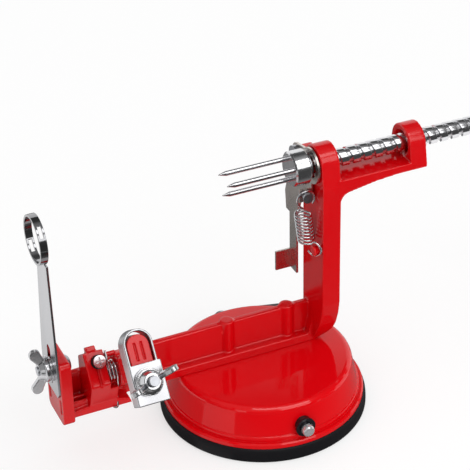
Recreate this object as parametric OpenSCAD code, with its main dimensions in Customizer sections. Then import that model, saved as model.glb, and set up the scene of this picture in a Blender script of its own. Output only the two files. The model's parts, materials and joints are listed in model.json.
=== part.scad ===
// Apple peeler, corer and slicer on a suction base.
// Origin: middle of the base on the counter. +X runs along the feed screw to the crank,
// +Y points away from the user, +Z is up. Millimetres.

/* [Suction base] */
// Radius of the rubber pad on the counter
pad_r = 57.5; // [50:0.5:70]
// Height of the rubber edge
pad_h = 8.2; // [7:0.1:12]
// Width of the ring that rests on the counter
pad_ring = 11.5; // [8:0.5:16]
// Depth of the hollow under the pad
pad_cup = 2.5; // [1.5:0.1:4]
// Thickness of the rubber skin
pad_skin = 3; // [2:0.1:4]
// Radius of the stud's foot in the rubber
stud_foot_r = 8; // [6:0.5:10]
// Rubber round the stud's foot
stud_boss = 4; // [3:0.5:6]
// Width of the rubber lip outside the foot of the dome
pad_lip = 1.5; // [1:0.1:3]
// Height of the foot
dome_foot_h = 2.8; // [1.5:0.1:4]
// Step from the foot in to the bead
foot_step = 2.4; // [1.5:0.1:4]
// Height of the bead
dome_bead_h = 3; // [1.5:0.1:5]
// How much the wall leans in from the bead to the rounded edge
wall_lean = 3.8; // [2.5:0.1:6]
// Radius of the rounded top edge
dome_edge = 3.5; // [2:0.1:6]
// Height of the flat top above the counter
dome_top = 30; // [27:0.5:40]
// Sheet thickness of the dome
dome_wall = 1.6; // [1:0.1:2.5]

/* [Suction pin and lever] */
// Height of the cross pin
pin_z = 18; // [16:0.5:20]
// Radius of the cross pin
pin_r = 2.8; // [2.5:0.1:3.2]
// Radius of the eccentric in the middle of the pin
cam_r = 3.6; // [3:0.1:4]
// Offset of the eccentric
cam_throw = 1.5; // [1:0.1:1.8]
// Length of the pin in front of the dome wall
pin_out = 6.2; // [5:0.1:9]
// Outer radius of the grommets
grommet_r = 4.7; // [4.4:0.1:5.5]
// Thickness of the grommets' flange
grommet_flange = 1.2; // [0.8:0.1:1.6]
// Length of the lever
lever_len = 44; // [34:1:60]
// Height of the lever bar
lever_w = 6; // [5:0.5:8]
// Thickness of the lever bar
lever_t = 3; // [2.5:0.5:5]
// Slope of the locked lever below level
lever_dip = 10; // [0:1:12]
// Wall of the sleeve on the lever
sleeve_wall = 1.3; // [1:0.1:2]

/* [Frame] */
// Height of the screw axis above the counter
axis_z = 143.5; // [138:0.5:160]
// Left face of the post
post_x = 31; // [26:0.5:38]
// Thickness of the post along the screw
post_t = 10.5; // [8:0.5:14]
// Half depth of the post, the eyes and the end plate
post_y = 12.2; // [11:0.1:15]
// Radius of the eyes round the screw
eye_r = 10.5; // [10:0.1:12]
// Distance between the middles of the two eyes
eye_span = 51.6; // [44:0.5:66]
// Thickness of the rear eye
rear_t = 9.8; // [8:0.5:14]
// Left face of the end plate
end_x = -120; // [-132:0.5:-112]
// Thickness of the end plate
end_t = 6.5; // [5:0.5:9]
// Height of the end plate
end_h = 37; // [34:0.5:46]
// Distance of the beam's middle behind the screw axis
beam_y = 7; // [6.5:0.5:9]
// Depth of the bottom flange of the beam
flange_y = 14; // [12:0.5:18]
// Height of the bottom flange
flange_h = 5; // [3.5:0.5:7]
// Thickness of the beam's web
web_t = 4; // [3:0.5:6]
// Height of the beam at the post
beam_h = 23.4; // [20:0.1:30]
// Height of the beam at the end plate
beam_h_end = 17; // [14:0.5:20]
// Radius of the screw bosses on the web
boss_r = 4; // [3.8:0.1:6]
// Distance between the two bosses
boss_pitch = 36; // [28:0.5:44]
// Length of the screws that hold the beam on the dome
screw_bite = 16; // [12:0.5:20]
// Height of the bosses above the top of the web
boss_up = 0.8; // [0.2:0.1:4]
// Radius of the outer bottom corner of the post
corner_r = 11; // [6:0.5:14]
// Distance of the upper arm's top below the screw axis
arm_top_drop = 7; // [6.5:0.1:8]
// Distance of the upper arm's underside below the screw axis at the post
arm_drop = 15; // [14:0.5:20]
// Distance of the upper arm's underside below the screw axis at the rear eye
arm_drop_end = 11.4; // [11:0.1:14]
// Depth of the pocket in the hidden side of the post
post_pocket = 5; // [3:0.5:6.5]
// Length of the platform under the peeling arm
platform_len = 34; // [30:0.5:40]
// Front edge of the platform
platform_front = -9; // [-9.2:0.1:-8]
// Height of the platform
platform_h = 6; // [4:0.5:7]

/* [Feed screw and fork] */
// Outer radius of the square thread
screw_r = 5; // [4:0.1:6]
// Depth of the thread
thread_depth = 1.1; // [0.9:0.1:1.4]
// Advance per turn
pitch = 6.6; // [6:0.1:8]
// Width of the thread's ridge
ridge_w = 4.4; // [3.6:0.1:4.5]
// Turns of the crank from start to end
feed_turns = 14.5; // [10:0.5:14.5]
// Radial play between the screw and the eyes
screw_play = 0.5; // [0.3:0.05:0.8]
// Right face of the fork hub
hub_x = 26; // [24:0.1:26.2]
// Length of the fork hub
hub_len = 9; // [7:0.5:12]
// Radius of the fork hub
hub_r = 9.5; // [8.5:0.1:10]
// Radius of a prong
prong_r = 1.35; // [1:0.05:1.8]
// Length of the prongs in front of the hub
prong_len = 38; // [28:1:40]
// Radius of the circle of prongs
prong_circle = 6.3; // [6:0.1:7.4]
// Radius of the loose washer behind the hub
washer_r = 7.5; // [6.5:0.1:9]
// Thickness of the loose washer
washer_t = 1; // [0.8:0.1:1.2]

/* [Crank] */
// Distance from the screw axis to the grip
crank_r = 88; // [60:1:105]
// Width of the crank bar
crank_w = 16; // [14:0.5:22]
// Thickness of the crank bar
crank_t = 4; // [3:0.5:6]
// Radius of the grip's pin
grip_pin_r = 3; // [2.5:0.1:4]
// Length of the grip
grip_len = 72; // [55:1:90]
// Largest radius of the grip
grip_r = 13; // [10:0.5:16]
// Radius of the screw's end in the crank
stub_r = 4; // [3:0.1:4.6]

/* [Release latch] */
// Thickness of the latch plate
latch_t = 1.2; // [1:0.1:1.4]
// Distance of the latch pivot behind the screw axis
latch_y = 15; // [14.5:0.5:18]
// Distance of the latch pivot below the screw axis
latch_drop = 1.3; // [0:0.1:4]
// Swing of the latch in degrees
latch_swing = 6; // [5:0.5:7]
// Play between the tooth's tip and the bottom of the thread
tooth_play = 0.3; // [0.2:0.05:0.5]
// Width of the tooth
tooth_w = 2; // [1.6:0.1:2.2]
// Lower end of the latch leg
leg_z = 65.5; // [58:0.5:76]
// Width of the latch leg
leg_w = 8.5; // [7:0.1:10]
// Distance of the leg's back edge behind the screw axis
leg_y = 25; // [22:0.5:28]
// Distance of the wing's back edge behind the screw axis
wing_y = 30.5; // [27:0.5:33]
// Length of the thumb tab
tab_len = 9; // [6:0.5:12]
// Height of the thumb tab
tab_h = 12; // [10:0.5:18]
// Radius of the latch pivot
latch_pin_r = 3; // [2.5:0.1:3.5]

/* [Latch spring] */
// Radius of the spring wire
wire_r = 0.6; // [0.5:0.05:0.7]
// Mean radius of the coils
coil_r = 4.4; // [3.8:0.1:4.6]
// Number of coils
coil_count = 9; // [7:1:9]
// Distance between coils
coil_pitch = 2.1; // [1.8:0.05:2.2]
// Mean radius of the top ring
ring_r = 5.1; // [4.6:0.1:5.4]
// Distance of the peg in front of the screw axis
peg_y = -8.7; // [-9.5:0.1:-8]
// Height of the spring peg
peg_z = 95.4; // [92:0.2:97]
// Radius of the spring peg
peg_r = 2.5; // [2:0.1:2.6]

/* [Corer] */
// Height of the corer's clamp bolt
core_bolt_z = 59.5; // [57:0.5:61]
// Radius of the clamp bolts
bolt_r = 2.5; // [2:0.1:2.9]
// Reach of a nut's wings from the bolt
wing_reach = 13.6; // [12:0.1:15]
// Height of the wings above the nut's seat
wing_rise = 13; // [11:0.1:15]
// Height of the corer nut's wings above its seat
core_wing_rise = 9.6; // [8:0.1:12]
// Share of that height that the nut's middle takes
nut_hub = 0.54; // [0.45:0.01:0.6]
// Radius of the wings' round tips
wing_tip = 3.1; // [2.6:0.1:3.6]
// Thickness of the wings
wing_t = 2.6; // [2:0.1:3.2]
// Turn of the peeling arm's wing nut
nut_turn = 18; // [0:1:180]
// Width of the corer's arm at its foot
core_w = 25; // [22:0.5:27]
// Width of the corer's arm under the ring
core_neck = 15; // [13:0.5:20]
// Sheet thickness of the blades
sheet = 1.2; // [0.8:0.1:1.5]
// Lower end of the corer's arm
core_foot_z = 46; // [44:0.5:48]
// Outer radius of the coring ring
core_ring_r = 13.2; // [12:0.1:17]
// Distance of the coring ring's middle below the screw axis as clamped
core_drop = 4.3; // [0:0.1:6]
// Width of the coring ring's band
core_band = 4; // [3:0.1:9]
// Upward and downward travel of the corer in its slot
core_travel = 6; // [3:0.5:6.5]

/* [Peeling arm] */
// Distance of the arm's pivot in front of the screw axis
arm_y = -6; // [-7:0.1:-5.8]
// Height of the arm's pivot above the counter
arm_z = 52.2; // [51:0.2:56]
// Lean of the arm at rest in degrees
arm_lean = 36; // [32:1:40]
// Radius of the arm's hub
arm_hub_r = 9.5; // [8:0.1:9.8]
// Left face of the arm's hub
arm_hub_x = -87.5; // [-88:0.5:-86]
// Length of the arm's hub
arm_hub_len = 15; // [12:0.5:18]
// Radius of the arm's pivot pin
arm_pin_r = 3; // [2.5:0.1:3.5]
// Distance from the pivot to the blade's seat
arm_reach = 77.8; // [65:0.2:90]
// Middle of the blade holder along the screw
holder_x = -94.6; // [-97:0.2:-92]
// Width of the blade holder
holder_w = 11.5; // [9:0.5:14]
// Thickness of the blade holder
holder_t = 12; // [8:0.5:16]
// Top of the blade holder above the pivot line
holder_top = 16; // [13:0.5:19]
// Foot of the blade holder below the pivot line
holder_foot = 18.8; // [17:0.2:22]
// Gap between the holder's round top and the blade's arch
peel_gap = 1.5; // [1:0.1:2.5]
// Depth of the blade's U-shaped strip
strip_d = 10; // [7:0.5:12]
// Play between the blade's legs and the holder
leg_play = 0.55; // [0.35:0.05:1]
// Width of the blade's clamp plate
clamp_w = 16.4; // [15:0.2:19]
// Distance of the blade's bolt below the pivot line
clamp_bolt = 7.9; // [7.3:0.1:9]
// Upper edge of the clamp plate above the pivot line
clamp_top = 1.5; // [1.2:0.1:3]
// Travel of the peeling blade in its slot
peel_travel = 1; // [0.5:0.1:1.1]

/* [Ear of the arm] */
// Right face of the ear
ear_x = -93; // [-93.5:0.1:-92.8]
// Length of the ear along the pin
ear_len = 11; // [10:0.5:13.5]
// Depth of the ear in front of the pin
ear_front = 4.7; // [4.2:0.1:6]
// Height of the ear above the pin, along its slope
ear_up = 12; // [11:0.5:14]
// Thickness of the ear across its slope
ear_t = 11; // [10:0.5:11.5]
// Wire radius of the torsion spring
torsion_wire = 0.6; // [0.45:0.05:0.65]
// Mean radius of the torsion spring
torsion_r = 5.2; // [4.8:0.1:5.4]

/* [Hidden] */
$fn = 64;

// Fits
run_gap = 0.05;
seat_gap = 0.02;
body_gap = 0.4;
eps = 0.01;

// Colours
red = [0.78, 0.02, 0.04];
dark_red = [0.62, 0.01, 0.03];
chrome = [0.80, 0.81, 0.83];
steel = [0.62, 0.63, 0.66];
black = [0.07, 0.07, 0.07];

// Places along the screw
post_x1 = post_x + post_t;
rear_mid = post_x + post_t / 2 + eye_span;
rear_x = rear_mid - rear_t / 2;
rear_x1 = rear_mid + rear_t / 2;
end_x1 = end_x + end_t;
feed = feed_turns * pitch;
washer_x = hub_x + 0.15;
latch_x = post_x - 0.8 - latch_t;
crank_x = rear_x1 + feed + 4;
thread_x0 = hub_x;
thread_len = crank_x - 2 - thread_x0;
bore_r = screw_r + screw_play;

// Places on the base and the beam
dome_foot_r = pad_r - pad_lip;
dome_bead_r = dome_foot_r - foot_step;
dome_rim_r = dome_bead_r - wall_lean;
dome_z0 = pad_h;
foot_z = dome_z0 + dome_foot_h;
bead_z = foot_z + dome_bead_h;
wall_r = dome_rim_r + (dome_bead_r - 1 - dome_rim_r) * (dome_top - dome_edge - pin_z)
       / (dome_top - dome_edge - bead_z);
beam_z = dome_top;
web_y0 = beam_y - web_t / 2;
web_y1 = beam_y + web_t / 2;
flange_y0 = beam_y - flange_y / 2;
grommet_out = dome_bead_r - wall_r + 0.3;
lever_y = wall_r + grommet_out + grommet_flange + body_gap;

// Latch: the tooth leaves the thread along the pivot's tangent
latch_z = axis_z - latch_drop;
latch_dir = atan2(latch_y, latch_drop);
latch_lift = latch_swing * PI / 180 * norm([latch_y, latch_drop]);
latch_hole_r = screw_r + latch_lift / 2 + 1;
tooth_tip = screw_r - thread_depth + tooth_play;
tab_y = -1.5;
rivet_x = latch_x - 3.6;
rivet_z = axis_z - 16.8;
rivet_r = 2.1;
rivet_ring_y = tab_y - 1.3;

// Peeling arm, in its own leaning frame: x along the pin, -y towards the blade, z towards the tip
arm_hub_x1 = arm_hub_x + arm_hub_len;
blade_y = -arm_reach - seat_gap;
arch_in = holder_w / 2 + leg_play;
arch_z = holder_top + peel_gap - arch_in;
clamp_foot = holder_foot;
ear_x0 = ear_x - ear_len;

module along_x(x0, x1, y, z, r) {
    translate([x0, y, z]) rotate([0, 90, 0]) cylinder(h = x1 - x0, r = r);
}

module along_y(y0, y1, x, z, r) {
    translate([x, y0, z]) rotate([-90, 0, 0]) cylinder(h = y1 - y0, r = r);
}

// Outline in (y, z), extruded along X
module slab_x(x0, x1) {
    translate([x0, 0, 0]) rotate([90, 0, 90]) linear_extrude(x1 - x0) children();
}

// Outline in (x, z), extruded along Y
module slab_y(y0, y1) {
    translate([0, y1, 0]) rotate([90, 0, 0]) linear_extrude(y1 - y0) children();
}

// Bar with round ends between two points
module stadium(a, b, r) {
    d = b - a;
    translate(a) circle(r);
    translate(b) circle(r);
    translate(a) rotate(atan2(d[1], d[0])) translate([0, -r]) square([norm(d), 2 * r]);
}

function arc(c, r, a0, a1, n = 6) = [for (i = [0:n]) c + r * [cos(a0 + (a1 - a0) * i / n), sin(a0 + (a1 - a0) * i / n)]];

function unit(v) = v / norm(v);

// Direction of the path at each point
function tangents(p) = [for (i = [0:len(p) - 1]) unit(p[min(i + 1, len(p) - 1)] - p[max(i - 1, 0)])];

// Normals carried along the path without twist
function carried(t) = [for (i = 0, n = unit(cross(t[0], [0.31, 0.87, 0.41])); i < len(t); i = i + 1,
    n = i < len(t) ? unit(n - (n * t[i]) * t[i]) : n) n];

// Round wire along a path, closed at both ends
module wire(p, r, sides = 6) {
    t = tangents(p);
    n = carried(t);
    m = len(p);
    ring = [for (i = [0:m - 1]) for (k = [0:sides - 1])
        p[i] + r * (cos(360 * k / sides) * n[i] + sin(360 * k / sides) * cross(t[i], n[i]))];
    skin = [for (i = [0:m - 2]) for (k = [0:sides - 1]) for (h = [0, 1])
        h == 0 ? [i * sides + k, i * sides + (k + 1) % sides, (i + 1) * sides + k]
               : [i * sides + (k + 1) % sides, (i + 1) * sides + (k + 1) % sides, (i + 1) * sides + k]];
    first = [for (k = [1:sides - 2]) [0, k + 1, k]];
    last = [for (k = [1:sides - 2]) [(m - 1) * sides, (m - 1) * sides + k, (m - 1) * sides + k + 1]];
    polyhedron(ring, [for (f = concat(skin, first, last)) [f[2], f[1], f[0]]], convexity = 10);
}

// Least free space between stretches of one wire that aren't neighbours
function self_gap(p, r, skip = 4) =
    min([for (i = [0:len(p) - 1 - skip]) min([for (j = [i + skip:len(p) - 1]) norm(p[i] - p[j])])]) - 2 * r;

// Cubic curve from a to b with end directions ta and tb
function blend(a, ta, b, tb, n) = [for (i = [1:n - 1]) let (s = i / n)
    (1 + 2 * s) * (1 - s) * (1 - s) * a + s * (1 - s) * (1 - s) * ta
    + s * s * (3 - 2 * s) * b - s * s * (1 - s) * tb];

// Wing nut on the Z axis, seat at z = 0
module wing_nut(bore, rise) {
    tip = [wing_reach - wing_tip, rise - wing_tip];
    hub = rise * nut_hub;
    difference() {
        union() {
            cylinder(h = 2.4, r = bore + 4.2);
            translate([0, 0, 2.4]) cylinder(h = hub - 2.4, r1 = bore + 3.2, r2 = bore + 1.8);
            for (a = [0, 180]) rotate([90, 0, a]) translate([0, 0, -wing_t / 2]) linear_extrude(wing_t) {
                polygon([[bore + 0.6, 1.2], [bore + 4.6, 1.8], [tip[0] + 2.2, tip[1] - 2.2],
                    [tip[0] - 2.2, tip[1] + 2.2], [bore + 0.6, hub * 0.88]]);
                translate(tip) circle(wing_tip);
            }
        }
        translate([0, 0, -1]) cylinder(h = rise + 2, r = bore + run_gap);
    }
}

// Leaning frame of the peeling arm
module arm_frame() {
    translate([0, arm_y, arm_z]) rotate([-arm_lean, 0, 0]) children();
}

// Suction base

module suction_pad() {
    ring_in = pad_r - pad_ring;
    boss_top = pad_cup + pad_skin * 2.1;
    color(black) difference() {
        rotate_extrude() polygon([
            [0, pad_cup], [ring_in - 2, pad_cup], [ring_in, 0], [pad_r - 0.8, 0], [pad_r, 1],
            [pad_r, 3], [pad_r - 0.6, pad_h], [ring_in - 2, pad_h], [ring_in - 4, pad_cup + pad_skin],
            [stud_foot_r + stud_boss * 1.5, pad_cup + pad_skin], [stud_foot_r + stud_boss, boss_top], [0, boss_top]]);
        translate([0, 0, pad_cup + pad_skin + 0.9]) cylinder(h = boss_top, r = stud_foot_r + seat_gap);
    }
}

module base_dome() {
    wall_foot = dome_bead_r - 1;
    outer = concat([[dome_foot_r, dome_z0], [dome_foot_r, foot_z - 0.8], [dome_foot_r - 0.8, foot_z],
        [dome_bead_r, foot_z]], arc([dome_bead_r - 1, bead_z - 1], 1, 0, 90, 4),
        arc([dome_rim_r - dome_edge, dome_top - dome_edge], dome_edge, 0, 90), [[0, dome_top]]);
    inner = concat([[0, dome_top - dome_wall]], arc([dome_rim_r - dome_edge, dome_top - dome_edge],
        dome_edge - dome_wall, 90, 0), [[wall_foot - dome_wall, bead_z - dome_wall], [wall_foot - dome_wall, dome_z0]]);
    color(red) difference() {
        rotate_extrude() polygon(concat(outer, inner));
        along_y(-dome_foot_r - 1, dome_foot_r + 1, 0, pin_z, grommet_r);
        for (s = [-1, 1]) translate([s * boss_pitch / 2, beam_y, dome_top - 4]) cylinder(h = 8, r = bolt_r + 0.2);
    }
}

module grommet() {
    rotate([-90, 0, 0]) difference() {
        union() {
            translate([0, 0, -2.4]) cylinder(h = 2.4 + grommet_out + grommet_flange, r = grommet_r - seat_gap);
            translate([0, 0, grommet_out]) cylinder(h = grommet_flange, r = grommet_r + 0.9);
        }
        translate([0, 0, -4]) cylinder(h = grommet_out + grommet_flange + 6, r = pin_r + run_gap);
    }
}

module pin_grommets() {
    color(black) for (a = [0, 180]) rotate(a) translate([0, wall_r, pin_z]) grommet();
}

module cam_pin() {
    color(steel) {
        along_y(-wall_r - pin_out, lever_y + lever_t, 0, pin_z, pin_r);
        along_y(-6, 6, 0, pin_z + cam_throw, cam_r);
    }
}

module pin_cap() {
    cap_y = -wall_r - pin_out;
    color(chrome) difference() {
        translate([0, cap_y + 1.6, pin_z]) rotate([90, 0, 0]) rotate_extrude() polygon(concat(
            [[0, 0], [pin_r + 0.5, 0]], arc([pin_r - 1.1, 2], 1.6, 0, 90, 5), [[0, 3.6]]));
        along_y(cap_y - eps, cap_y + 4, 0, pin_z, pin_r + seat_gap);
    }
}

// Lever outline in its own plane: the pin at the origin, the tip on +X
module lever_outline(grow) {
    circle(pin_r + 1.8);
    stadium([0, 0], [lever_len, 0], lever_w / 2 + grow);
}

module lever_place() {
    translate([0, 0, pin_z]) rotate([0, lever_dip, 0]) children();
}

module suction_lever() {
    color(steel) difference() {
        lever_place() slab_y(lever_y, lever_y + lever_t) lever_outline(0);
        along_y(lever_y - 1, lever_y + lever_t + 1, 0, pin_z, pin_r + seat_gap);
    }
}

module lever_sleeve() {
    color(black) lever_place() difference() {
        slab_y(lever_y - sleeve_wall, lever_y + lever_t + sleeve_wall)
            stadium([lever_len * 0.55, 0], [lever_len, 0], lever_w / 2 + sleeve_wall);
        slab_y(lever_y - seat_gap, lever_y + lever_t + seat_gap) lever_outline(seat_gap);
    }
}

module pull_stud() {
    foot = pad_cup + pad_skin + 0.9 + seat_gap;
    mid = pin_z + cam_throw;
    eye_z = max(cam_r + 0.7, cam_throw + pin_r + body_gap);
    eye_x = max(cam_r + cam_throw + 0.6, eye_z);
    color(steel) difference() {
        union() {
            translate([0, 0, foot]) cylinder(h = 2.2, r = stud_foot_r);
            translate([0, 0, foot]) cylinder(h = mid - eye_z - foot, r = 4);
            slab_y(-3.5, 3.5) translate([0, mid])
                stadium([-(eye_x - eye_z), 0], [eye_x - eye_z, 0], eye_z + 2);
        }
        slab_y(-5, 5) translate([0, mid]) stadium([-(eye_x - eye_z), 0], [eye_x - eye_z, 0], eye_z);
    }
}

module base_screws() {
    under = dome_top - dome_wall - seat_gap;
    color(steel) for (s = [-1, 1]) translate([s * boss_pitch / 2, beam_y, 0]) {
        translate([0, 0, under - 3]) cylinder(h = 3, r = bolt_r + 2);
        translate([0, 0, under - 0.5]) cylinder(h = screw_bite, r = bolt_r);
    }
}

// Frame casting

module beam() {
    z0 = beam_z;
    slab_y(web_y0, web_y1) polygon([[end_x + 1, z0], [post_x1 - corner_r, z0], [post_x + 1, z0 + corner_r],
        [post_x + 1, z0 + beam_h], [-58, z0 + beam_h - 0.4], [end_x + 1, z0 + beam_h_end]]);
    slab_y(flange_y0, flange_y0 + flange_y) polygon([[end_x + 1, z0], [post_x1 - corner_r, z0],
        [post_x1 - corner_r, z0 + flange_h], [end_x + 1, z0 + flange_h]]);
    for (s = [-1, 1]) translate([s * boss_pitch / 2, beam_y, z0]) cylinder(h = beam_h + boss_up, r = boss_r);
}

module post() {
    intersection() {
        slab_x(post_x, post_x1) polygon([[flange_y0, beam_z], [flange_y0 + flange_y, beam_z],
            [flange_y0 + flange_y, beam_z + 18], [post_y, beam_z + 20], [post_y, axis_z - eye_r], [eye_r, axis_z], [-eye_r, axis_z],
            [-post_y, axis_z - eye_r],
            [-post_y, beam_z + 30], [-post_y + 1.2, beam_z + 22.5], [-post_y + 4, beam_z + 14.5],
            [-post_y + 8, beam_z + 7.5], [flange_y0 - 0.8, beam_z + 2.5], [flange_y0, beam_z + 1]]);
        slab_y(-post_y - 5, post_y + 12) polygon(concat([[post_x, axis_z + 1], [post_x, beam_z + 1],
            [post_x - 1, beam_z]], arc([post_x1 - corner_r, beam_z + corner_r], corner_r, -90, 0),
            [[post_x1, axis_z + 1]]));
    }
    slab_y(flange_y0, flange_y0 + flange_y) polygon(concat([[post_x1 - corner_r - 2, beam_z + flange_h],
        [post_x1 - corner_r - 2, beam_z]], arc([post_x1 - corner_r, beam_z + corner_r], corner_r, -90, 0),
        [[post_x, beam_z + corner_r + 4]]));
    eye(post_x, post_x1);
}

// Round eye about the screw
module eye(x0, x1) {
    along_x(x0, x1, 0, axis_z, eye_r);
}

module upper_arm() {
    z0 = axis_z - arm_drop;
    z1 = axis_z - arm_drop_end;
    z2 = axis_z - arm_top_drop;
    fillet = 6;
    slab_y(-post_y, post_y) polygon(concat([[post_x1 - 1, z2], [post_x1 - 1, z0 - fillet]],
        arc([post_x1 + fillet, z0 - fillet], fillet, 180, 97), [[(post_x1 + rear_x) / 2, z1 - 1.1],
        [rear_x - 10, z1 - 0.2], [rear_x + 1, z1], [rear_x + 1, z2]]));
    slab_x(rear_x, rear_x1) polygon([[-post_y, z1], [post_y, z1], [post_y, z1 + 3], [eye_r, axis_z],
        [-eye_r, axis_z], [-post_y, z1 + 3]]);
    eye(rear_x, rear_x1);
}

module end_plate() {
    edge = 2;
    z0 = beam_z - 1.8;
    slab_x(end_x, end_x1) polygon([[-post_y, z0 + edge], [-post_y + edge, z0], [post_y - edge, z0],
        [post_y, z0 + edge], [post_y, beam_z + end_h - edge], [post_y - edge, beam_z + end_h],
        [-post_y + edge, beam_z + end_h], [-post_y, beam_z + end_h - edge]]);
}

// Ear outline in (y, z): an upright foot that carries a leaning block
module ear_outline() {
    n = [-cos(arm_lean), sin(arm_lean)];
    t = [sin(arm_lean), cos(arm_lean)];
    p = [arm_y, arm_z];
    polygon([[platform_front + 1, beam_z + 2], p + ear_front * n - 7 * t, p + ear_front * n + ear_up * t,
        p + (ear_front - ear_t) * n + ear_up * t, [web_y0 + 1, beam_z + beam_h_end], [web_y0 + 1, beam_z + 2]]);
}

module platform() {
    x0 = end_x1 - 1;
    x1 = x0 + platform_len;
    peak = x0 + platform_len * 0.66;
    slab_y(platform_front, web_y0 + 1) polygon([[x0, beam_z], [x1, beam_z], [x1 - 1, beam_z + platform_h / 2],
        [peak, beam_z + platform_h], [x0, beam_z + platform_h * 0.6]]);
    for (y = [platform_front + 2.6, platform_front + 7]) translate([x0, y, beam_z])
        cube([ear_x0 + 1 - x0, 1.6, platform_h + 2]);
    slab_x(ear_x0, ear_x) ear_outline();
    slab_x(ear_x - 1, arm_hub_x - 0.8) polygon([[platform_front + 1, beam_z + 2], [arm_y - 6.4, arm_z - 7.2],
        [arm_y - 3, arm_z - 7.2], [arm_y + 2, beam_z + platform_h], [arm_y + 2, beam_z + 2]]);
    arm_frame() translate([ear_x0 + 2.4, -ear_front + 1.5, ear_up - 1]) cube([ear_len * 0.5, 4, 4]);
}

module frame() {
    latch_boss = latch_pin_r + 1.6;
    color(red) difference() {
        union() {
            beam();
            post();
            upper_arm();
            end_plate();
            platform();
            along_x(post_x, post_x + 7, latch_y, latch_z, latch_boss);
            slab_x(post_x, post_x + 7) polygon([[post_y - 3, latch_z - latch_boss], [latch_y, latch_z - latch_boss],
                [latch_y, latch_z + latch_boss], [post_y - 3, latch_z + latch_boss]]);
            along_x(latch_x + latch_t + run_gap, post_x + 1, latch_y, latch_z, latch_pin_r + 1.4);
            along_x(post_x - 4.2, post_x + 1, peg_y, peg_z, peg_r);
            along_x(post_x - 4.8, post_x - 3.6, peg_y, peg_z, peg_r + 0.6);
        }
        along_x(post_x - 1, rear_x1 + 1, 0, axis_z, bore_r);
        translate([rear_x - eps, 0, axis_z]) rotate([0, 90, 0]) cylinder(h = 2.4, r1 = bore_r + 2, r2 = bore_r);
        translate([post_x - eps, 0, axis_z]) rotate([0, 90, 0]) cylinder(h = 1.6, r1 = bore_r + 1.6, r2 = bore_r);
        translate([post_x1 - post_pocket, -post_y + 3.5, beam_z + 42])
            cube([post_pocket + 1, 2 * post_y - 7, axis_z - arm_drop - 10 - beam_z - 42]);
        along_x(end_x - 1, end_x1 + 1, 0, core_bolt_z, bolt_r + seat_gap);
        for (s = [-1, 1]) translate([end_x - eps, s * 8.6 - 1.2, beam_z + 4.5]) cube([1.6, 2.4, 9]);
        along_x(ear_x0 + 3 - seat_gap, ear_x + 1, arm_y, arm_z, arm_pin_r + seat_gap);
        along_x(post_x - 5, post_x + 8, latch_y, latch_z, latch_pin_r - 0.5 + seat_gap);
        for (s = [-1, 1]) translate([s * boss_pitch / 2, beam_y, beam_z - 1])
            cylinder(h = screw_bite + 2, r = bolt_r + seat_gap);
        arm_frame() translate([0, -ear_front, 0]) {
            translate([ear_x0 + ear_len * 0.46, -1, -8]) cube([1.6, 2.2, 12.5]);
            translate([ear_x - 4.2, 9, ear_up - 6]) rotate([90, 0, 0]) cylinder(h = 12, r = 1.6 + seat_gap);
        }
    }
}

// Feed screw, fork and crank

// Section of the square thread: the ridge takes its share of the circle
module thread_section() {
    half = 180 * ridge_w / pitch;
    core = screw_r - thread_depth;
    polygon(concat(arc([0, 0], screw_r, -half, half, 8), arc([0, 0], core, half + 4, 356 - half, 3)));
}

module feed_screw() {
    tooth_x = latch_x + latch_t / 2;
    start = latch_dir + 90 - 180 - 360 * (tooth_x - thread_x0) / pitch;
    turns = thread_len / pitch;
    core = screw_r - thread_depth;
    color(chrome) {
        translate([thread_x0, 0, axis_z]) rotate([0, 90, 0]) rotate(start)
            linear_extrude(thread_len, twist = -360 * turns, slices = ceil(turns * 10), $fn = 12) thread_section();
        along_x(hub_x - hub_len + 2, thread_x0 + 0.5, 0, axis_z, core - 0.2);
        along_x(thread_x0 + thread_len - 0.5, crank_x + crank_t + 7, 0, axis_z, min(stub_r, core - 0.2));
    }
}

module fork_hub() {
    x0 = hub_x - hub_len;
    core = screw_r - thread_depth - 0.2;
    color(chrome) difference() {
        translate([x0, 0, axis_z]) rotate([0, 90, 0]) rotate_extrude() polygon([[0, 0], [hub_r - 0.8, 0],
            [hub_r, 0.8], [hub_r, hub_len - 0.6], [hub_r - 0.6, hub_len - seat_gap], [0, hub_len - seat_gap]]);
        along_x(x0 + 2 - seat_gap, hub_x + 1, 0, axis_z, core + seat_gap);
        prongs(seat_gap);
    }
}

module prongs(grow) {
    for (a = [36, 156, 276]) translate([hub_x - hub_len, prong_circle * cos(a), axis_z + prong_circle * sin(a)])
        rotate([0, -90, 0]) {
            translate([0, 0, -6 - grow]) cylinder(h = prong_len + 2, r = prong_r + grow);
            translate([0, 0, prong_len - 4 - grow]) cylinder(h = 4, r1 = prong_r + grow, r2 = 0.25);
        }
}

module fork_prongs() {
    color(chrome) prongs(0);
}

module thrust_washer() {
    color(steel) difference() {
        along_x(washer_x, washer_x + washer_t, 0, axis_z, washer_r);
        along_x(washer_x - 1, washer_x + washer_t + 1, 0, axis_z, screw_r + 0.3);
    }
}

module crank_arm() {
    stub = min(stub_r, screw_r - thread_depth - 0.2);
    color(chrome) difference() {
        slab_x(crank_x, crank_x + crank_t) stadium([0, axis_z], [0, axis_z - crank_r], crank_w / 2);
        along_x(crank_x - 1, crank_x + crank_t + 1, 0, axis_z, stub + seat_gap);
        along_x(crank_x - 1, crank_x + crank_t + 1, 0, axis_z - crank_r, grip_pin_r + seat_gap);
    }
}

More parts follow.
